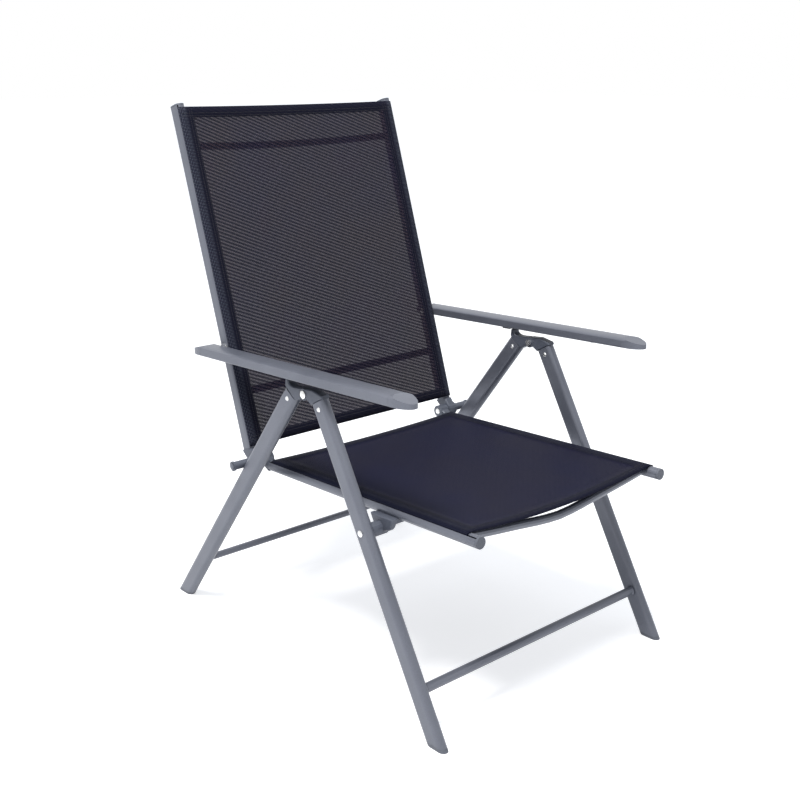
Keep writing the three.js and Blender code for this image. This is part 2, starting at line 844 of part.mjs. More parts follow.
// The armrest's domed outline, grown inward by an inset
function armrestOutline(inset) {
  const half = armrestWidth / 2 - inset;
  const low = -armrestHeight / 2 + inset;
  const high = armrestHeight / 2 - inset;
  const corner = Math.max(armrestCorner - inset, fitGap);
  const shoulder = high - armrestCrown + inset;
  const outline = new THREE.Shape();
  outline.moveTo(-half + corner, low);
  outline.lineTo(half - corner, low);
  outline.quadraticCurveTo(half, low, half, low + corner);
  outline.lineTo(half, shoulder);
  outline.bezierCurveTo(half, (shoulder + high) / 2, half * 0.62, high, 0, high);
  outline.bezierCurveTo(-half * 0.62, high, -half, (shoulder + high) / 2, -half, shoulder);
  outline.lineTo(-half, low + corner);
  outline.quadraticCurveTo(-half, low, -half + corner, low);
  return outline;
}

const armrestOptions = { curveSegments: profileSteps };

// The armrest's hollow body, slotted below for the rack and drilled for its pivot bolt
function armrestShell(side) {
  const section = armrestOutline(0);
  section.holes.push(armrestOutline(armrestWall));
  const body = crossPrism(section, armCapLength - armrestFront, armrestRear - armCapLength, armrestOptions);
  const slotWidth = rackWidth + 2 * fitGap;
  const slotLength = rackFront - rackRear + 2 * fitGap;
  const slot = new THREE.BoxGeometry(slotWidth, slotLength, 3 * armrestWall);
  slot.translate(0, -(rackFront + rackRear) / 2, -armrestHeight / 2);
  const inward = -side * armrestWidth / 2;
  const drill = rodX(armBoltRadius + fitGap, inward - cutOverrun, inward + cutOverrun);
  return cut(body, slot, drill).translate(side * armrestPlane, 0, 0);
}

// A rounded end: half an ellipse in plan, sloping down to its tip
function armrestCap(side, seam, tip) {
  const outward = Math.sign(tip - seam);
  const block = crossPrism(armrestOutline(0), Math.min(seam, tip), Math.max(seam, tip), armrestOptions);
  const plan = new THREE.Shape();
  const turn = outward > 0 ? 0 : pi;
  plan.absellipse(0, seam, armrestWidth / 2, armCapLength, turn, turn + pi, false);
  plan.closePath();
  const fall = polygonOutline([
    [seam, -armrestHeight],
    [tip, -armrestHeight],
    [tip, armrestHeight / 2 - armCapSlope],
    [seam, armrestHeight / 2 + fitGap],
  ]);
  const rounded = common(
    block,
    upright(plan, -armrestHeight, armrestHeight, { curveSegments: boltSides }),
    sidePlate(fall, -armrestWidth, armrestWidth),
  );
  const inner = seam - outward * armCapSpigot;
  const outer = seam + outward * armCapSpigot / 2;
  const spigotOutline = armrestOutline(armrestWall + fitGap);
  const spigot = crossPrism(spigotOutline, Math.min(inner, outer), Math.max(inner, outer), armrestOptions);
  return join(rounded, spigot).translate(side * armrestPlane, 0, 0);
}

// The rack: a notched strip with a stop tooth behind the notches and a bump at its front end
function armrestRack(side) {
  const skirt = -armrestHeight / 2;
  const crest = skirt - rackDrop;
  const flangeLow = skirt + armrestWall + fitGap;
  const flangeHigh = flangeLow + rackFlangeHeight;
  const points = [
    [-rackRear, flangeHigh],
    [-rackRear, crest - toothDrop],
    [-rackRear - toothLength + toothDrop, crest - toothDrop],
    [-rackRear - toothLength, crest],
  ];
  for (let notch = 0; notch < rackNotches; notch += 1) {
    const middle = -firstNotch - notch * rackPitch;
    const wall = middle - notchFlat / 2;
    points.push([middle + notchSlope, crest]);
    points.push([middle + notchFlat / 2 - notchSlope / 3, crest + notchDepth]);
    points.push([wall, crest + notchDepth]);
    points.push([wall, crest]);
  }
  points.push([-rackFront + endBumpLength, crest]);
  points.push([-rackFront + endBumpLength - endBumpDrop, crest - endBumpDrop]);
  points.push([-rackFront, crest - endBumpDrop]);
  points.push([-rackFront, flangeHigh]);
  const half = rackWidth / 2;
  const strip = sidePlate(polygonOutline(points), -half, half);
  const flange = new THREE.BoxGeometry(rackFlangeWidth, rackFront - rackRear, rackFlangeHeight);
  flange.translate(0, -(rackFront + rackRear) / 2, (flangeLow + flangeHigh) / 2);
  return join(strip, flange).translate(side * armrestPlane, 0, 0);
}

// The armrest bolt: domed head inside the rail, washer beside the armrest, and a nut in the armrest
function armBolt(side) {
  const inner = backRailInner - fitGap;
  const washerInner = backRailOuter + fitGap;
  const armInner = armrestPlane - armrestWidth / 2;
  const nutFace = armInner + armrestWall + fitGap;
  return turnedX([
    [inner - headHeight, 0],
    [inner - headHeight * 0.8, armBoltHeadRadius * 0.65],
    [inner, armBoltHeadRadius],
    [inner, armBoltRadius],
    [washerInner, armBoltRadius],
    [washerInner, armWasherRadius],
    [armInner - fitGap, armWasherRadius],
    [armInner - fitGap, armBoltRadius],
    [nutFace, armBoltRadius],
    [nutFace, armNutRadius],
    [nutFace + nutLength, armNutRadius],
    [nutFace + nutLength, 0],
  ], side);
}

function placeRearLeg(word, side) {
  const rivetAlong = rearTubeTop - castingRivetInset;
  place(rearLegs, `rear_leg_${word}`, leg(side, rearLegs, rearTubeTop, [[rivetAlong, rivetRadius]]), paint);
  place(rearLegs, `rear_hinge_insert_${word}`, rearCasting(side), casting);
  place(rearLegs, `rear_insert_rivet_${word}`, castingRivet(side).translate(0, 0, rivetAlong), zinc);
  place(rearLegs, `rear_foot_${word}`, foot(side, rearLegs), plug);
}

function placeFrontLeg(word, side) {
  const rivetAlong = frontTubeTop - castingRivetInset;
  const holes = [[rivetAlong, rivetRadius], [seatPivotAlong, pivotBoltRadius]];
  const head = legOuter + fitGap;
  const apexBolt = crossBolt(side, legInner - fitGap, head, apexHeadRadius, pivotBoltRadius);
  const seatNutFace = seatRailPlane + seatRailRadius;
  const seatBolt = crossBolt(side, seatNutFace, head, seatHeadRadius, pivotBoltRadius);
  place(frontLegs, `front_leg_${word}`, leg(side, frontLegs, frontTubeTop, holes), paint);
  place(frontLegs, `front_hinge_insert_${word}`, frontCasting(side), casting);
  place(frontLegs, `front_insert_rivet_${word}`, castingRivet(side).translate(0, 0, rivetAlong), zinc);
  place(frontLegs, `front_foot_${word}`, foot(side, frontLegs), plug);
  place(frontLegs, `apex_bolt_${word}`, apexBolt.translate(0, frontApexOffset, frontApexAlong), zinc);
  place(frontLegs, `seat_bolt_${word}`, seatBolt.translate(0, 0, seatPivotAlong), zinc);
}

function placeSeatSide(word, side) {
  const rail = slottedRail(seatRail, side, -seatRailFront, -seatRailRear);
  const cap = railCap(seatRail, side, -seatRailFront, -1, capThickness);
  place(seatFrame, `seat_rail_${word}`, rail.translate(0, 0, -seatRailDrop), paint);
  place(seatFrame, `seat_rail_cap_${word}`, cap.translate(0, 0, -seatRailDrop), plug);
  place(seatFrame, `seat_pivot_bracket_${word}`, seatPivotBracket(side), casting);
  place(seatFrame, `seat_hinge_casting_${word}`, seatHingeCasting(side), casting);
  place(seatFrame, `hinge_pin_${word}`, hingePin(side), zinc);
  place(seatFrame, `glide_sleeve_${word}`, glideSleeve(side), casting);
}

function placeBackSide(word, side) {
  const cap = railCap(backRail, side, backLength, 1, backCapThickness);
  const bolt = armBolt(side).translate(0, backRailOffset, armPivotAlong);
  place(backFrame, `back_rail_${word}`, backRailTube(side), paint);
  place(backFrame, `back_rail_cap_${word}`, ontoBack(cap), plug);
  place(backFrame, `back_hinge_casting_${word}`, backHingeCasting(side), casting);
  place(backFrame, `arm_pivot_bolt_${word}`, bolt, zinc);
}

function placeArmrest(word, side) {
  const frontSeam = armCapLength - armrestFront - fitGap;
  const rearSeam = armrestRear - armCapLength + fitGap;
  place(armFrame, `armrest_${word}`, armrestShell(side), paint);
  place(armFrame, `armrest_rack_${word}`, armrestRack(side), blackPlastic);
  place(armFrame, `armrest_front_cap_${word}`, armrestCap(side, frontSeam, -armrestFront), paint);
  place(armFrame, `armrest_rear_cap_${word}`, armrestCap(side, rearSeam, armrestRear), paint);
}

for (const [word, side] of sides) {
  placeRearLeg(word, side);
  placeFrontLeg(word, side);
  placeSeatSide(word, side);
  placeBackSide(word, side);
  placeArmrest(word, side);
}

const seatSlingFront = seatSlingSetback - seatRailFront;
const seatSagAt = (share) => lerp(seatSagFront, seatSagRear, share);
const seatSling = sling(seatRail, seatSlingFront, -seatSlingRear, seatSagAt);
const backSling = sling(backRail, backSlingStart, backLength - backSlingTopGap, () => backSag);
place(rearLegs, 'rear_crossbar', crossbar(rearCrossbarRadius).translate(0, 0, rearCrossbarAlong), paint);
place(frontLegs, 'front_crossbar', crossbar(frontCrossbarRadius).translate(0, 0, frontCrossbarAlong), paint);
place(seatFrame, 'seat_front_bow', frontBow().translate(0, 0, -seatRailDrop), paint);
place(seatFrame, 'seat_rear_bar', seatRearBar().translate(0, 0, -seatRailDrop), paint);
place(seatFrame, 'seat_sling', seatSling.translate(0, 0, -seatRailDrop), mesh);
place(backFrame, 'back_top_bar', backTopBar(), paint);
place(backFrame, 'back_lower_bar', backLowerBar(), paint);
place(backFrame, 'back_sling', ontoBack(backSling), mesh);

// The origin moves to the middle of the footprint, on the floor
const box = new THREE.Box3().setFromObject(chair, true);
chair.position.set(-(box.min.x + box.max.x) / 2, -(box.min.y + box.max.y) / 2, -box.min.z);
chair.updateMatrixWorld(true);

export default chair;
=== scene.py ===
"""Looks of a folding sling patio chair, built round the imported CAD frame. Lengths are metres."""

import json
import math

import bpy
import numpy as np
from mathutils import Matrix, Vector


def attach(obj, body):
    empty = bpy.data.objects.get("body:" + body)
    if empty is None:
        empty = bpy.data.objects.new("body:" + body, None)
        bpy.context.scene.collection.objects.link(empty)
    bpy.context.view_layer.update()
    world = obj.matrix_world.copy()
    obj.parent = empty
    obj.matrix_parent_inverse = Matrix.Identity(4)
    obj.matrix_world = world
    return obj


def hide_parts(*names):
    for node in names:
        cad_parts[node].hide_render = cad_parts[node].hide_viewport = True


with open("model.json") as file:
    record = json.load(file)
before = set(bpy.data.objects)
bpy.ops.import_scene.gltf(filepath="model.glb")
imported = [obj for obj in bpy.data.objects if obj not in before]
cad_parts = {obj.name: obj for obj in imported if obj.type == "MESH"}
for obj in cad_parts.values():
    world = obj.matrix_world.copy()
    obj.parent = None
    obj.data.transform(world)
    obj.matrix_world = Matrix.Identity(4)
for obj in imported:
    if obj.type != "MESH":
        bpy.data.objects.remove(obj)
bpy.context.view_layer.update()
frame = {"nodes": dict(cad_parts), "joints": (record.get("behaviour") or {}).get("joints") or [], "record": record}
NODES = frame["nodes"]
SLOTS = {s["node"]: s["material_slot"] for s in frame["record"]["subparts"]}
HINGE = next(Vector(j["pos_m"]) for j in frame["joints"] if j["name"] == "recline")

# The slings' drawing: the same lengths and angles (in degrees) as the imported solids. "plane" and
# "radius" are the rails', "slot" is where their channel opens, "ends" are places along them from
# the hinge, "drop" sets them off from the hinge, and the last is the strength of the painted glints.
SEAT = {
    "name": "seat",
    "body": "seat_frame",
    "tilt": 2.36,
    "plane": 0.252,
    "radius": 0.0114,
    "slot": 38.0,
    "ends": (-0.598, -0.030),
    "sags": (0.015, 0.005),
    "drop": 0.012,
    "upright": False,
    "painted_glints": 0.12,
}
BACK = {
    "name": "back",
    "body": "back_frame",
    "tilt": 18.0,
    "plane": 0.277,
    "radius": 0.010,
    "slot": 48.0,
    "ends": (0.030, 0.733),
    "sags": (0.008, 0.008),
    "drop": 0.005,
    "upright": True,
    "painted_glints": 1.0,
}

# Cloth and hems
CLOTH = 0.0009
HEM_EXTRA = 0.0005
SIDE_HEM = 0.030
END_HEM = 0.022
CLEAR = 0.0006
TUCKS = (0.0012, 0.0026)
# Width of the cloth's edge that carries the painted highlight glints over the rails
GLINT_EDGE_WIDTH = 0.013

# The cloth's grid
SPAN_POINTS = 40
WRAP_POINTS = 12
HIDDEN_POINTS = 4
SLOPE_STEP = 0.0015
HEM_STEP = 0.0004
COLUMN_STEP = 0.012
ROW_STEP = 0.014
EDGE_STOP = 0.006
WRAP_REACH = 0.012
WRAP_STEP = 0.0022
PLACE_DIGITS = 6
ROUNDING = 1e-6

# Lock stitches
STITCH_PITCH = 0.0042
STITCH_GAP_SHARE = 0.16
STITCH_SHARE = 0.68
STITCH_ROWS = (0.0025, 0.0085)
ROW_START_ALONG = 0.004
ROW_START_ACROSS = 0.002
THREAD_LIFT = 0.00005
THREAD_SINK = 0.0002
THREAD_RISE = 0.00018
THREAD_HALF_WIDTH = 0.00042
THREAD_HEIGHT = 0.00034
PROBE = 0.001


class Tree:
    """An emptied node tree with short ways to add nodes. Values are numbers, tuples or sockets."""

    def __init__(self, owner):
        owner.use_nodes = True
        self.nodes = owner.node_tree.nodes
        self.links = owner.node_tree.links
        self.nodes.clear()

    def feed(self, socket, value):
        if isinstance(value, bpy.types.NodeSocket):
            self.links.new(value, socket)
        elif socket.type == "RGBA":
            socket.default_value = (*value, 1.0)
        else:
            socket.default_value = value

    def node(self, kind, **values):
        made = self.nodes.new(kind)
        for key, value in values.items():
            self.feed(made.inputs[key.replace("_", " ")], value)
        return made

    def place(self):
        return self.nodes.new("ShaderNodeTexCoord").outputs["Object"]

    def attribute(self, name):
        made = self.nodes.new("ShaderNodeAttribute")
        made.attribute_name = name
        return made.outputs["Fac"]

    def math(self, operation, *values, clamp=False):
        made = self.nodes.new("ShaderNodeMath")
        made.operation = operation
        made.use_clamp = clamp
        for socket, value in zip(made.inputs, values):
            self.feed(socket, value)
        return made.outputs[0]

    def scaled(self, source, factor, offset):
        return self.math("MULTIPLY_ADD", source, factor, offset)

    def wave(self, coordinate, pitch, phase=0.0):
        """0 to 1 and back, once in each pitch along a coordinate in metres."""
        turns = self.scaled(coordinate, 2 * math.pi / pitch, phase)
        return self.scaled(self.math("SINE", turns), 0.5, 0.5)

    def ramp(self, source, stops):
        made = self.nodes.new("ShaderNodeValToRGB")
        elements = made.color_ramp.elements
        while len(elements) < len(stops):
            elements.new(1.0)
        for element, (position, colour) in zip(elements, stops):
            element.position = position
            element.color = (*colour, 1.0)
        self.links.new(source, made.inputs[0])
        return made.outputs[0]

    def noise(self, vector, scale, detail, roughness):
        values = {"Vector": vector, "Scale": scale, "Detail": detail, "Roughness": roughness}
        return self.node("ShaderNodeTexNoise", **values).outputs[0]

    def stretched(self, vector, scale):
        return self.node("ShaderNodeMapping", Vector=vector, Scale=scale).outputs[0]

    def mix(self, factor, a, b, blend="MIX"):
        made = self.nodes.new("ShaderNodeMix")
        made.data_type = "RGBA"
        made.blend_type = blend
        colour_a, colour_b = (s for s in made.inputs if s.type == "RGBA")
        for socket, value in ((made.inputs[0], factor), (colour_a, a), (colour_b, b)):
            self.feed(socket, value)
        return next(s for s in made.outputs if s.type == "RGBA")

    def bump(self, height, strength, distance):
        return self.node("ShaderNodeBump", Height=height, Strength=strength, Distance=distance)

    def background_rays(self):
        """1 for rays that show the white background: straight, mirrored or through clear things."""
        path = self.nodes.new("ShaderNodeLightPath").outputs
        mirrored = self.math("MAXIMUM", path["Is Glossy Ray"], path["Is Transmission Ray"])
        return self.math("MAXIMUM", path["Is Camera Ray"], mirrored)

    def finish(self, shader, output="ShaderNodeOutputMaterial"):
        self.links.new(shader.outputs[0], self.nodes.new(output).inputs[0])


# Sprayed and moulded coats. A noise is its scale, detail and roughness; octaves are the last two.
DRIFT = (9.0, 3.0, 0.5)
GRAIN_OCTAVES = (2.0, 0.6)
SPECK_SHARE = 0.31
SPECK_OCTAVES = (1.0, 0.4)
SPECK_TONES = [(0.25, (0.8, 0.8, 0.8)), (0.75, (1.0, 1.0, 1.0))]
SPECK_STRENGTH = 0.5
LOW_AT, HIGH_AT = 0.3, 0.7
RUB_STRETCH = (34.0, 5.0, 5.0)
RUBS = (6.0, 6.0, 0.7)
RUB_TONES = [(0.66, (0.0, 0.0, 0.0)), (0.8, (0.16, 0.16, 0.16))]
RUB_LIGHTER = 1.7
CLEAR_COAT_ROUGHNESS = 0.28
DRIFT_ROUGHNESS = 0.12
GRAIN_ROUGHNESS = 0.08
GRAIN_BUMP = 0.35
SPECK_BUMP = 0.2
SPECK_DEEPER = 2


def coated(name, low, high, roughness, metallic, grain, grain_depth, coat=0.0):
    """A coat: a broad drift of tone, a fine grain, speckles, faint rubs and uneven roughness."""
    made = bpy.data.materials.new(name)
    tree = Tree(made)
    place = tree.place()
    drift = tree.noise(place, *DRIFT)
    fine = tree.noise(place, grain, *GRAIN_OCTAVES)
    speck = tree.noise(place, grain * SPECK_SHARE, *SPECK_OCTAVES)
    rub = tree.noise(tree.stretched(place, RUB_STRETCH), *RUBS)
    tone = tree.ramp(drift, [(LOW_AT, low), (HIGH_AT, high)])
    colour = tree.mix(SPECK_STRENGTH, tone, tree.ramp(speck, SPECK_TONES), "MULTIPLY")
    lighter = tuple(min(1.0, c * RUB_LIGHTER) for c in high)
    colour = tree.mix(tree.ramp(rub, RUB_TONES), colour, lighter)
    uneven = tree.scaled(drift, DRIFT_ROUGHNESS, roughness - DRIFT_ROUGHNESS / 2)
    uneven = tree.scaled(fine, GRAIN_ROUGHNESS, uneven)
    relief = tree.bump(speck, SPECK_BUMP, grain_depth * SPECK_DEEPER)
    tree.feed(relief.inputs["Normal"], tree.bump(fine, GRAIN_BUMP, grain_depth).outputs[0])
    shader = tree.node(
        "ShaderNodeBsdfPrincipled",
        Base_Color=colour,
        Metallic=metallic,
        Roughness=uneven,
        Coat_Weight=coat,
        Coat_Roughness=CLEAR_COAT_ROUGHNESS,
        Normal=relief.outputs[0],
    )
    tree.finish(shader)
    return made


# Zinc plate and painted ends
TURNING_STRETCH = (2600.0, 300.0, 300.0)
TURNING = (1.0, 3.0, 0.7)
CLOUDS = (240.0, 2.0, 0.5)
ZINC_TONES = [(0.3, (0.72, 0.72, 0.70)), (0.7, (0.90, 0.91, 0.93))]
ZINC_METALLIC = 0.92
ZINC_ANISOTROPY = 0.3
ZINC_ROUGHNESS = (0.16, 0.18)
TURNING_BUMP = 0.25
TURNING_DEPTH = 0.00008
PAINTED_TONE = (0.13, 0.14, 0.17)
PAINTED_METALLIC = 0.32


def zinc_plate(name, painted_from=None):
    """Bright plated steel with turning marks, painted where it lies further out than painted_from."""
    made = bpy.data.materials.new(name)
    tree = Tree(made)
    place = tree.place()
    marks = tree.noise(tree.stretched(place, TURNING_STRETCH), *TURNING)
    colour = tree.ramp(tree.noise(place, *CLOUDS), ZINC_TONES)
    metallic = ZINC_METALLIC
    if painted_from is not None:
        sideways = tree.node("ShaderNodeSeparateXYZ", Vector=place).outputs[0]
        painted = tree.math("GREATER_THAN", tree.math("ABSOLUTE", sideways), painted_from)
        colour = tree.mix(painted, colour, PAINTED_TONE)
        metallic = tree.scaled(painted, PAINTED_METALLIC - ZINC_METALLIC, ZINC_METALLIC)
    shader = tree.node(
        "ShaderNodeBsdfPrincipled",
        Base_Color=colour,
        Metallic=metallic,
        Roughness=tree.scaled(marks, *ZINC_ROUGHNESS),
        Anisotropic=ZINC_ANISOTROPY,
        Normal=tree.bump(marks, TURNING_BUMP, TURNING_DEPTH).outputs[0],
    )
    tree.finish(shader)
    return made


# Mesh cloth: the yarns, the two bands of light and dark that the weave shows, and painted highlight glints (light
# dots) along the edge.
# A pair is a factor and an offset.
YARN_PITCH = 0.0017
WEFT_PHASE = 0.8
BAND_SLANT = 0.42
BAND_POWER = 1.5
BAND_WEIGHT = 0.6
CROSS_SLANT = -0.9
CROSS_SHARE = 2.3
CROSS_PHASE = 1.1
CROSS_WEIGHT = 0.07
FIBRE = (900.0, 2.0, 0.6)
FIBRE_WEIGHT = 0.3
CLOTH_DRIFT = (7.0, 3.0, 0.5)
DRIFT_TINTS = [(0.35, (1.0, 1.0, 1.0)), (0.65, (0.82, 0.9, 1.12))]
DARK_AT, LIGHT_AT = 0.15, 0.85
HEM_DEEPER = 0.9
HEM_STRENGTH = 0.85
# Painted highlight: spacing, contrast, strength and tone of light glint dots on the cloth's edge
GLINT_PITCH = 0.0030
GLINT_CONTRAST = (4.0, -1.6)
GLINT_STRENGTH = 0.7
GLINT_TONE = (0.15, 0.165, 0.21)
CLOTH_SPECULAR = 0.07
CLOTH_SHEEN = 0.02
SHEEN_ROUGHNESS = 0.5
CLOTH_ROUGHNESS = (0.2, 0.52)
HOLE_OPENNESS = 1.6
YARN_OPENNESS = 0.55
BAND_OPENNESS = (0.7, 0.65)
YARN_BUMP = 0.5
YARN_DEPTH = 0.0003
FIBRE_BUMP = 0.2
FIBRE_DEPTH = 0.0001


def mesh_cloth(name, dark, light, openness, band_pitch):
    """Coated yarn in an open weave. U and V are metres, and HEM is 1 where the cloth is doubled."""
    made = bpy.data.materials.new(name)
    tree = Tree(made)
    flat = tree.nodes.new("ShaderNodeUVMap")
    flat.uv_map = "cloth"
    u, v = tree.node("ShaderNodeSeparateXYZ", Vector=flat.outputs[0]).outputs[:2]
    place = tree.place()
    doubled = tree.attribute("HEM")
    fibre = tree.noise(place, *FIBRE)
    warp, weft = tree.wave(u, YARN_PITCH), tree.wave(v, YARN_PITCH, WEFT_PHASE)
    over = tree.math("MAXIMUM", warp, weft)
    hole = tree.math("SUBTRACT", 1.0, over)

    # Colour: light and dark bands, a drift to a cooler tone, and darker hems
    band = tree.wave(tree.scaled(u, BAND_SLANT, v), band_pitch)
    band = tree.math("POWER", band, BAND_POWER)
    cross = tree.wave(tree.scaled(u, CROSS_SLANT, v), band_pitch * CROSS_SHARE, CROSS_PHASE)
    pattern = tree.scaled(band, BAND_WEIGHT, tree.math("MULTIPLY", cross, CROSS_WEIGHT))
    pattern = tree.scaled(fibre, FIBRE_WEIGHT, pattern)
    colour = tree.ramp(pattern, [(DARK_AT, dark), (LIGHT_AT, light)])
    tint = tree.ramp(tree.noise(place, *CLOTH_DRIFT), DRIFT_TINTS)
    colour = tree.mix(1.0, colour, tint, "MULTIPLY")
    deep = tuple(c * HEM_DEEPER for c in dark)
    colour = tree.mix(tree.math("MULTIPLY", doubled, HEM_STRENGTH), colour, deep)

    # Painted highlight: light glint dots laid into the colour where the cloth bends over the rails
    painted_glints = tree.math("MULTIPLY", tree.wave(u, GLINT_PITCH), tree.wave(v, GLINT_PITCH))
    painted_glints = tree.math("MULTIPLY_ADD", painted_glints, *GLINT_CONTRAST, clamp=True)
    painted_glints = tree.math("MULTIPLY", painted_glints, tree.attribute("EDGE"))
    colour = tree.mix(tree.math("MULTIPLY", painted_glints, GLINT_STRENGTH), colour, GLINT_TONE)

    # Openness: the holes of the weave, closed in the hems
    open_share = tree.scaled(hole, openness * HOLE_OPENNESS, openness * YARN_OPENNESS)
    open_share = tree.math("MULTIPLY", open_share, tree.math("SUBTRACT", 1.0, doubled))
    open_share = tree.math("MULTIPLY", open_share, tree.scaled(band, *BAND_OPENNESS))

    relief = tree.bump(fibre, FIBRE_BUMP, FIBRE_DEPTH)
    tree.feed(relief.inputs["Normal"], tree.bump(over, YARN_BUMP, YARN_DEPTH).outputs[0])
    shader = tree.node(
        "ShaderNodeBsdfPrincipled",
        Base_Color=colour,
        Roughness=tree.scaled(fibre, *CLOTH_ROUGHNESS),
        Specular_IOR_Level=CLOTH_SPECULAR,
        Sheen_Weight=CLOTH_SHEEN,
        Sheen_Roughness=SHEEN_ROUGHNESS,
        Alpha=tree.math("SUBTRACT", 1.0, open_share, clamp=True),
        Normal=relief.outputs[0],
    )
    tree.finish(shader)
    return made


def new_object(name, points, faces, finish):
    mesh = bpy.data.meshes.new(name)
    mesh.from_pydata([tuple(p) for p in points], [], faces)
    mesh.materials.append(finish)
    made = bpy.data.objects.new(name, mesh)
    bpy.context.scene.collection.objects.link(made)
    return made


def smooth(piece):
    for polygon in piece.data.polygons:
        polygon.use_smooth = True


def cross_line(rail, sag):
    """Half of a sling's middle line: from its middle, over the rail and into the channel."""
    middle = rail["radius"] + CLEAR + CLOTH / 2 + HEM_EXTRA
    lean = math.atan(2 * sag / rail["plane"])
    span = rail["plane"] - middle * math.sin(lean)
    shares = np.linspace(0, 1, SPAN_POINTS)
    line = [(span * t, middle * math.cos(lean) - sag * (1 - t * t)) for t in shares]
    end = math.radians(rail["slot"])
    bends = [(middle, angle) for angle in np.linspace(-lean, end, WRAP_POINTS)[1:]]
    bends += [(middle - depth, end) for depth in TUCKS]
    line += [(rail["plane"] + reach * math.sin(a), reach * math.cos(a)) for reach, a in bends]
    return np.array(line)


def measured(line):
    """Distances along a line, from its first point to each point."""
    return np.concatenate([[0.0], np.cumsum(np.linalg.norm(np.diff(line, axis=0), axis=1))])


class Sling:
    """A stretched sheet, whose points are found from the distance across and the place along."""

    def __init__(self, rail):
        self.rail = rail
        self.low, self.high = rail["ends"]
        far = measured(cross_line(rail, sum(rail["sags"]) / 2))
        self.half = far[-1]
        self.edge = far[-1 - HIDDEN_POINTS]

    def drawn(self, across, along):
        """A point of the sheet and its outward normal, as (across, along, out)."""
        share = (along - self.low) / (self.high - self.low)
        first, last = self.rail["sags"]
        line = cross_line(self.rail, first + share * (last - first))
        far = measured(line)
        at = abs(across) * far[-1] / self.half
        ends = [max(at - SLOPE_STEP, 0.0), min(at + SLOPE_STEP, far[-1])]
        x, out = (np.interp(at, far, line[:, i]) for i in (0, 1))
        dx, dz = (np.diff(np.interp(ends, far, line[:, i]))[0] for i in (0, 1))
        size = math.hypot(dx, dz)
        side = 1 if across >= 0 else -1
        return np.array([side * x, along, out]), np.array([-side * dz / size, 0.0, dx / size])

    def set_in_chair(self, point):
        """A drawn point (across, along, out) in the chair's frame."""
        x, along, out = point
        if self.rail["upright"]:
            y, z = self.rail["drop"] - out, along
        else:
            y, z = along, out - self.rail["drop"]
        tilt = math.radians(self.rail["tilt"])
        c, s = math.cos(tilt), math.sin(tilt)
        return Vector((x, HINGE.y + y * c + z * s, HINGE.z - y * s + z * c))

    def at(self, across, along, lift=0.0):
        point, out = self.drawn(across, along)
        return self.set_in_chair(point + lift * out)

    def hemmed(self, across, along):
        from_sides = self.edge - SIDE_HEM - abs(across)
        from_ends = min(along - self.low, self.high - along) - END_HEM
        return 1.0 if min(from_sides, from_ends) < -ROUNDING else 0.0


def spaced(stops, step):
    """Places from the first stop to the last, no further apart than step, every stop among them."""
    places = [stops[0]]
    for a, b in zip(stops, stops[1:]):
        count = max(1, math.ceil((b - a) / step))
        places += [a + (b - a) * k / count for k in range(1, count + 1)]
    return places


def cloth_columns(sling):
    """Places across: wide steps, a close pair at each hem and fine steps round the rails."""
    hem = sling.edge - SIDE_HEM
    bend = sling.edge - WRAP_REACH
    stops = [0.0, hem - HEM_STEP, hem + HEM_STEP, sling.edge - EDGE_STOP, sling.half]
    flat = [a for a in spaced(stops, COLUMN_STEP) if a < bend]
    places = flat + spaced([bend, sling.half], WRAP_STEP)
    half = sorted({round(a, PLACE_DIGITS) for a in places})
    return [-a for a in reversed(half[1:])] + half


def cloth_rows(sling):
    """Places along: even steps, with a close pair at each hem."""
    low, high = sling.low + END_HEM, sling.high - END_HEM
    pairs = [low - HEM_STEP, low + HEM_STEP, high - HEM_STEP, high + HEM_STEP]
    return spaced([sling.low, *pairs, sling.high], ROW_STEP)


def skin_faces(wide, tall):
    """Quads of two grids, the second turned over, joined round their rim."""
    base = wide * tall
    faces = []
    for r in range(tall - 1):
        for c in range(wide - 1):
            a, b = r * wide + c, r * wide + c + 1
            faces.append((a, b, b + wide, a + wide))
            faces.append((base + a + wide, base + b + wide, base + b, base + a))
    rim = list(range(wide))
    rim += [r * wide + wide - 1 for r in range(1, tall)]
    rim += [(tall - 1) * wide + c for c in range(wide - 2, -1, -1)]
    rim += [r * wide for r in range(tall - 2, 0, -1)]
    return faces + [(b, a, base + a, base + b) for a, b in zip(rim, rim[1:] + rim[:1])]


def sling_piece(rail, sling, cloth):
    """The cloth: two faces that stand apart by its thickness, and further apart in the hems."""
    columns, rows = cloth_columns(sling), cloth_rows(sling)
    points, flats, hems, edges = [], [], [], []
    for face in (1, -1):
        for along in rows:
            for across in columns:
                hem = sling.hemmed(across, along)
                points.append(sling.at(across, along, face * (CLOTH / 2 + HEM_EXTRA * hem)))
                flats.append((across + sling.half, along))
                hems.append(hem)
                # Painted glints: the edge's highlight strength where the cloth bends over the rail
                edges.append(rail["painted_glints"] if abs(across) > sling.edge - GLINT_EDGE_WIDTH else 0.0)
    name = rail["name"] + "_sling_cloth"
    piece = new_object(name, points, skin_faces(len(columns), len(rows)), cloth)
    mesh = piece.data
    coordinates = mesh.uv_layers.new(name="cloth")
    for loop in mesh.loops:
        coordinates.data[loop.index].uv = flats[loop.vertex_index]
    mesh.attributes.new("HEM", "FLOAT", "POINT").data.foreach_set("value", hems)
    mesh.attributes.new("EDGE", "FLOAT", "POINT").data.foreach_set("value", edges)
    mesh.update()
    smooth(piece)
    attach(piece, rail["body"])
    return piece


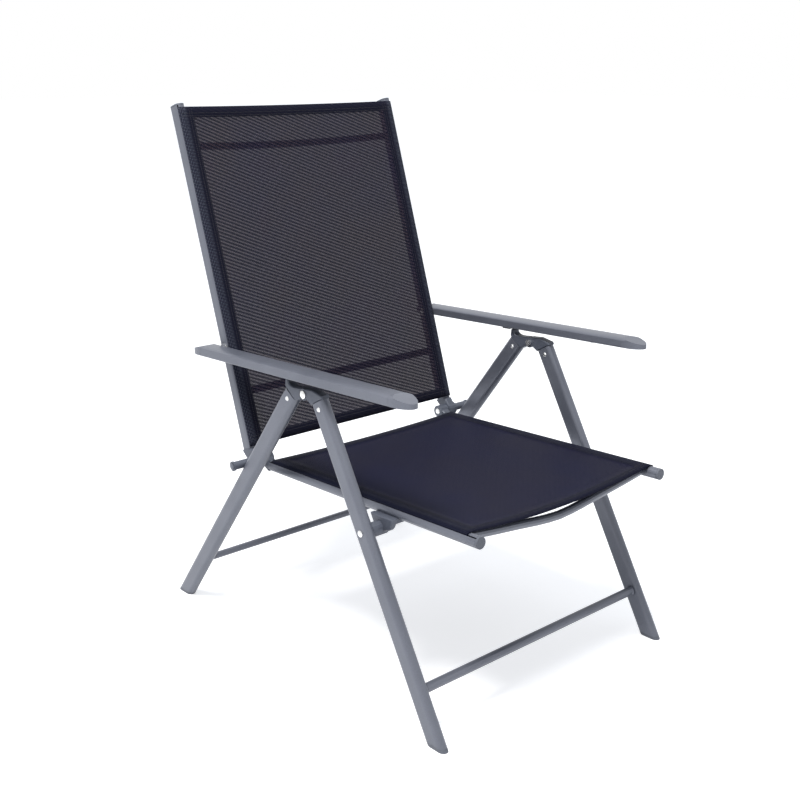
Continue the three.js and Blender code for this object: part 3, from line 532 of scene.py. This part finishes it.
def stitch_rows(sling):
    """Each row's direction, its fixed place, and where it starts and ends."""
    hem = sling.edge - SIDE_HEM
    low, high = sling.low + ROW_START_ALONG, sling.high - ROW_START_ALONG
    far = sling.edge - ROW_START_ACROSS
    rows = []
    for side in (-1, 1):
        rows += [("along", side * (hem + offset), low, high) for offset in STITCH_ROWS]
    for end, inward in ((sling.low, 1), (sling.high, -1)):
        inner = end + inward * END_HEM
        rows += [("across", inner - inward * offset, -far, far) for offset in STITCH_ROWS]
    return rows


def in_row(way, fixed, place):
    """A place in a row, as the distance across and the place along."""
    return (fixed, place) if way == "along" else (place, fixed)


def add_stitch(points, faces, sling, way, fixed, start, stop, face):
    """One stitch: a low three-sided thread that dips into the cloth at both ends."""
    lift = face * (CLOTH / 2 + HEM_EXTRA + THREAD_LIFT)
    spot = in_row(way, fixed, start)
    foot = sling.at(*spot, lift)
    beside = sling.at(*in_row(way, fixed + PROBE, start), lift)
    aside = (beside - foot).normalized() * THREAD_HALF_WIDTH
    up = (sling.at(*spot, lift + face * PROBE) - foot).normalized() * THREAD_HEIGHT
    begin = len(points)
    places = (start, (start + stop) / 2, stop)
    for place, rise in zip(places, (-THREAD_SINK, THREAD_RISE, -THREAD_SINK)):
        middle = sling.at(*in_row(way, fixed, place), lift + face * rise)
        points += [middle - aside, middle + up, middle + aside]
    for ring in (begin, begin + 3):
        for a, b in ((0, 1), (1, 2), (2, 0)):
            faces.append((ring + a, ring + b, ring + b + 3, ring + a + 3))
    faces.append((begin, begin + 2, begin + 1))
    faces.append((begin + 6, begin + 7, begin + 8))


def stitching(rail, sling, thread):
    """Lock stitches on both faces of the cloth, in two rows along each hem."""
    points, faces = [], []
    for way, fixed, first, last in stitch_rows(sling):
        count = int((last - first) / STITCH_PITCH)
        pitch = (last - first) / count
        for k in range(count):
            start = first + (k + STITCH_GAP_SHARE) * pitch
            stop = start + STITCH_SHARE * pitch
            for face in (1, -1):
                add_stitch(points, faces, sling, way, fixed, start, stop, face)
    piece = new_object(rail["name"] + "_sling_stitches", points, faces, thread)
    smooth(piece)
    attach(piece, rail["body"])
    return piece


# Materials
PAINT = coated(
    "paint",
    low=(0.128, 0.137, 0.168),
    high=(0.160, 0.170, 0.204),
    roughness=0.34,
    metallic=0.35,
    grain=1400.0,
    grain_depth=0.00006,
    coat=0.06,
)
ALLOY = coated(
    "cast_paint",
    low=(0.080, 0.090, 0.118),
    high=(0.106, 0.117, 0.148),
    roughness=0.44,
    metallic=0.22,
    grain=700.0,
    grain_depth=0.00012,
    coat=0.03,
)
PLUG = coated(
    "grey_plastic",
    low=(0.100, 0.110, 0.135),
    high=(0.125, 0.135, 0.162),
    roughness=0.48,
    metallic=0.0,
    grain=900.0,
    grain_depth=0.00009,
)
RACK = coated(
    "black_plastic",
    low=(0.010, 0.011, 0.013),
    high=(0.020, 0.021, 0.024),
    roughness=0.50,
    metallic=0.0,
    grain=800.0,
    grain_depth=0.00009,
)
THREAD = coated(
    "thread",
    low=(0.012, 0.012, 0.018),
    high=(0.028, 0.028, 0.036),
    roughness=0.62,
    metallic=0.0,
    grain=2500.0,
    grain_depth=0.00005,
)
ZINC = zinc_plate("zinc_plate")
PIN = zinc_plate("zinc_pin", painted_from=0.29)
BACK_CLOTH = mesh_cloth(
    "back_mesh",
    dark=(0.003, 0.004, 0.013),
    light=(0.044, 0.031, 0.040),
    openness=0.165,
    band_pitch=0.0078,
)
SEAT_CLOTH = mesh_cloth(
    "seat_mesh",
    dark=(0.002, 0.003, 0.013),
    light=(0.018, 0.016, 0.033),
    openness=0.02,
    band_pitch=0.0060,
)
FINISHES = {
    "painted_tube": PAINT,
    "painted_casting": ALLOY,
    "end_plug": PLUG,
    "zinc_fastener": ZINC,
    "rack_plastic": RACK,
    "mesh_fabric": SEAT_CLOTH,
}
for name, piece in NODES.items():
    piece.data.materials.clear()
    piece.data.materials.append(PIN if name.startswith("hinge_pin") else FINISHES[SLOTS[name]])
    for polygon in piece.data.polygons:
        polygon.material_index = 0

for rail, cloth, node_name, rails in (
    (SEAT, SEAT_CLOTH, "seat_sling", ["seat_rail_left", "seat_rail_right"]),
    (BACK, BACK_CLOTH, "back_sling", ["back_rail_left", "back_rail_right"]),
):
    drawing = Sling(rail)
    sheet = sling_piece(rail, drawing, cloth)
    stitches = stitching(rail, drawing, THREAD)
    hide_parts(node_name)

# Camera: the photo's place and direction, with angles in degrees and the lens in millimetres
CAMERA_PLACE = (-1.5370, -1.67573, 1.1705)
YAW, PITCH, ROLL = (math.radians(a) for a in (41.83, -16.68, 0.25))
LENS = 51.41
SENSOR = 36.0
CAMERA_REACH = 100.0

flat_ahead = Vector((math.sin(YAW), math.cos(YAW), 0.0))
ahead = flat_ahead * math.cos(PITCH) + Vector((0.0, 0.0, math.sin(PITCH)))
level = Vector((math.cos(YAW), -math.sin(YAW), 0.0))
above = level.cross(ahead)
across = level * math.cos(ROLL) + above * math.sin(ROLL)
upward = above * math.cos(ROLL) - level * math.sin(ROLL)
camera = bpy.data.objects.new("camera", bpy.data.cameras.new("camera"))
bpy.context.scene.collection.objects.link(camera)
turn = Matrix((across, upward, -ahead)).transposed().to_4x4()
camera.matrix_world = Matrix.Translation(CAMERA_PLACE) @ turn
camera.data.lens = LENS
camera.data.sensor_width = SENSOR
camera.data.clip_end = CAMERA_REACH
bpy.context.scene.camera = camera

# Lamps: place, diameter, power and colour
LAMP_TARGET = Vector((0, 0, 0.5))
LAMPS = {
    "key_lamp": ((-1.7, -0.5, 4.1), 1.3, 190.0, (1.0, 0.99, 0.97)),
    "fill_lamp": ((2.6, -2.2, 1.9), 2.6, 3.0, (0.94, 0.97, 1.0)),
}
for name, (place, size, power, colour) in LAMPS.items():
    light = bpy.data.lights.new(name, "AREA")
    light.shape = "DISK"
    light.size = size
    light.energy = power
    light.color = colour
    lamp = bpy.data.objects.new(name, light)
    bpy.context.scene.collection.objects.link(lamp)
    lamp.location = place
    lamp.rotation_euler = (LAMP_TARGET - Vector(place)).to_track_quat("-Z", "Y").to_euler()

# World: darker below and lighter above for the object, and plain white as a background
WHITE = (1.0, 1.0, 1.0)
SKY_TONES = [(0.0, (0.14, 0.15, 0.17)), (0.30, (0.22, 0.24, 0.29)), (1.0, (1.04, 1.10, 1.20))]
SKY_STRENGTH = 0.85

world = bpy.data.worlds.new("studio")
bpy.context.scene.world = world
tree = Tree(world)
direction = tree.nodes.new("ShaderNodeTexCoord").outputs["Generated"]
height = tree.node("ShaderNodeSeparateXYZ", Vector=direction).outputs[2]
lit = tree.node("ShaderNodeBackground", Color=tree.ramp(height, SKY_TONES), Strength=SKY_STRENGTH)
seen = tree.node("ShaderNodeBackground", Color=WHITE, Strength=1.0)
both = tree.nodes.new("ShaderNodeMixShader")
for socket, source in zip(both.inputs, (tree.background_rays(), lit.outputs[0], seen.outputs[0])):
    tree.feed(socket, source)
tree.finish(both, "ShaderNodeOutputWorld")

# Floor: pale, with a glow for the background's rays alone, so that it keeps the chair's shadow
FLOOR_REACH = 30
FLOOR_DROP = 0.0005
FLOOR_GRAIN = (60.0, 3.0, 0.5)
FLOOR_TONES = [(0.2, (0.74, 0.74, 0.74)), (0.8, (0.77, 0.77, 0.77))]
FLOOR_GLOW = 0.62

floor_finish = bpy.data.materials.new("floor")
tree = Tree(floor_finish)
tone = tree.ramp(tree.noise(tree.place(), *FLOOR_GRAIN), FLOOR_TONES)
diffuse = tree.node("ShaderNodeBsdfDiffuse", Color=tone)
strength = tree.math("MULTIPLY", tree.background_rays(), FLOOR_GLOW)
glow = tree.node("ShaderNodeEmission", Color=WHITE, Strength=strength)
both = tree.nodes.new("ShaderNodeAddShader")
for socket, source in zip(both.inputs, (diffuse.outputs[0], glow.outputs[0])):
    tree.feed(socket, source)
tree.finish(both)
corners = [(x * FLOOR_REACH, y * FLOOR_REACH, 0) for x, y in ((-1, -1), (1, -1), (1, 1), (-1, 1))]
floor = new_object("floor", corners, [(0, 1, 2, 3)], floor_finish)
floor.location.z = -FLOOR_DROP

bpy.context.scene.view_settings.view_transform = "Standard"
